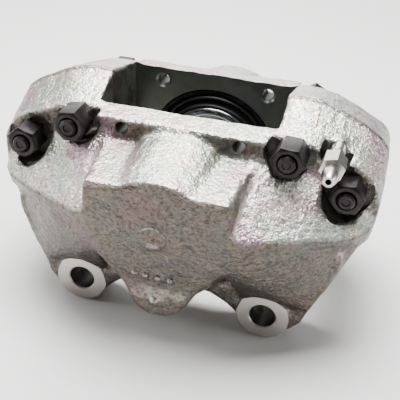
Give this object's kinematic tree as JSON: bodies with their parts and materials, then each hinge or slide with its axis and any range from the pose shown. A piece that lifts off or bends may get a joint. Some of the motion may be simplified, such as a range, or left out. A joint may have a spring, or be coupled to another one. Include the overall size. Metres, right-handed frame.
{
  "type": "brake caliper",
  "caption": "Fixed opposed-piston disc brake caliper in two bolted castings, with mounting lugs, open pad window, dust boots and a bleeder screw",
  "frame": {"origin": "on the machined knuckle face of the inboard half, below its bore, midway between the lugs", "axes": "+X along the caliper, +Y through the disc away from the knuckle, +Z away from the axle"},
  "size_m": [0.186, 0.144, 0.1136],
  "materials": {
    "plated_casting": "zinc plated and passivated over a sand-cast grain",
    "black_steel": "black oxide, satin",
    "bright_steel": "bright zinc",
    "chromed_steel": "ground and polished",
    "boot_rubber": "satin",
    "seal_rubber": "matte"
  },
  "bodies": {
    "caliper": {"inboard_half": "plated_casting", "outboard_half": "plated_casting", "inboard_piston_seal": "seal_rubber", "outboard_piston_seal": "seal_rubber", "inboard_dust_boot": "boot_rubber", "outboard_dust_boot": "boot_rubber", "inboard_boot_ring": "black_steel", "outboard_boot_ring": "black_steel", "crossover_o_ring_left": "seal_rubber", "crossover_o_ring_right": "seal_rubber", "bridge_nut_1": "black_steel", "bridge_nut_2": "black_steel", "bridge_nut_3": "black_steel", "bridge_nut_4": "black_steel", "bridge_bolt_1": "black_steel", "bridge_bolt_2": "black_steel", "bridge_bolt_3": "black_steel", "bridge_bolt_4": "black_steel"},
    "inboard_piston": {"inboard_piston": "chromed_steel"},
    "outboard_piston": {"outboard_piston": "chromed_steel"},
    "bleeder": {"bleeder_screw": "bright_steel"}
  },
  "joints": [
    {"name": "inboard_piston_slide", "type": "slide", "parent": "caliper", "child": "inboard_piston", "axis": [0, 1, 0], "range_m": [-0.002, 0.013], "deforming": ["inboard_dust_boot"]},
    {"name": "outboard_piston_slide", "type": "slide", "parent": "caliper", "child": "outboard_piston", "axis": [0, -1, 0], "range_m": [-0.002, 0.013], "deforming": ["outboard_dust_boot"]},
    {"name": "bleeder_turn", "type": "hinge", "parent": "caliper", "child": "bleeder", "pos_m": [0.0703, -0.0153, 0.0762], "axis": [0, -1, 0], "range_deg": [0, 270]}
  ]
}
